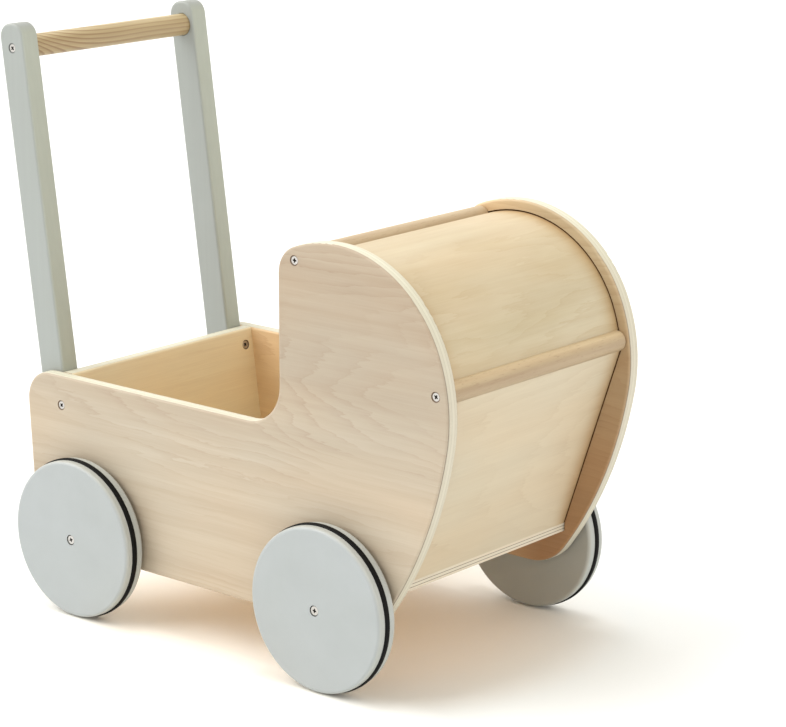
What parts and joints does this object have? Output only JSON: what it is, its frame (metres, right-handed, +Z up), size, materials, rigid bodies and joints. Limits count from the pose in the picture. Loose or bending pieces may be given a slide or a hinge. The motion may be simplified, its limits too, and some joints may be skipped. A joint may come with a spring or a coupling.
{
  "type": "doll stroller",
  "caption": "Wooden doll stroller with a plywood bed, a bent plywood hood, an upright push handle and disc wheels that turn freely.",
  "frame": {"origin": "on the floor, under the middle of the overall box", "axes": "+X towards the hood end, +Y to the left side, +Z up; the handle is at -X"},
  "size_m": [0.4953, 0.2884, 0.4912],
  "materials": {
    "side_veneer": "matt lacquered plywood, pale birch or beech veneer, light laminated edges",
    "panel_veneer": "matt lacquered thin plywood",
    "hood_veneer": "matt lacquered bent plywood, grain across the hood",
    "beech_dowel": "matt lacquered turned dowel",
    "pine_bar": "satin lacquered round bar with strong brown grain",
    "painted_wood": "satin pale grey-green paint",
    "wheel_paint": "satin pale grey-green paint",
    "rubber_ring": "matt black",
    "screw_steel": "nickel plated",
    "spacer_nylon": "natural nylon"
  },
  "bodies": {
    "frame": {"side_panel_right": "side_veneer", "side_panel_left": "side_veneer", "back_panel": "panel_veneer", "bottom_panel": "panel_veneer", "front_panel": "panel_veneer", "hood_sheet": "hood_veneer", "hood_dowel_rear": "beech_dowel", "hood_dowel_front": "beech_dowel", "handle_post_right": "painted_wood", "handle_post_left": "painted_wood", "handle_bar": "pine_bar", "side_screws": "screw_steel", "back_screws": "screw_steel", "handle_screws": "screw_steel", "axle_bolts": "screw_steel", "axle_nuts": "screw_steel", "axle_spacers": "spacer_nylon"},
    "wheel_rear_right": {"wheel_rear_right": "wheel_paint", "tyre_ring_rear_right": "rubber_ring", "hub_sleeve_rear_right": "spacer_nylon"},
    "wheel_rear_left": {"wheel_rear_left": "wheel_paint", "tyre_ring_rear_left": "rubber_ring", "hub_sleeve_rear_left": "spacer_nylon"},
    "wheel_front_right": {"wheel_front_right": "wheel_paint", "tyre_ring_front_right": "rubber_ring", "hub_sleeve_front_right": "spacer_nylon"},
    "wheel_front_left": {"wheel_front_left": "wheel_paint", "tyre_ring_front_left": "rubber_ring", "hub_sleeve_front_left": "spacer_nylon"}
  },
  "joints": [
    {"name": "wheel_rear_right_spin", "type": "hinge", "parent": "frame", "child": "wheel_rear_right", "pos_m": [-0.1419, -0.13445, 0.0684], "axis": [0, 1, 0], "continuous": true},
    {"name": "wheel_rear_left_spin", "type": "hinge", "parent": "frame", "child": "wheel_rear_left", "pos_m": [-0.1419, 0.13445, 0.0684], "axis": [0, 1, 0], "continuous": true},
    {"name": "wheel_front_right_spin", "type": "hinge", "parent": "frame", "child": "wheel_front_right", "pos_m": [0.1323, -0.13445, 0.0684], "axis": [0, 1, 0], "continuous": true},
    {"name": "wheel_front_left_spin", "type": "hinge", "parent": "frame", "child": "wheel_front_left", "pos_m": [0.1323, 0.13445, 0.0684], "axis": [0, 1, 0], "continuous": true}
  ]
}
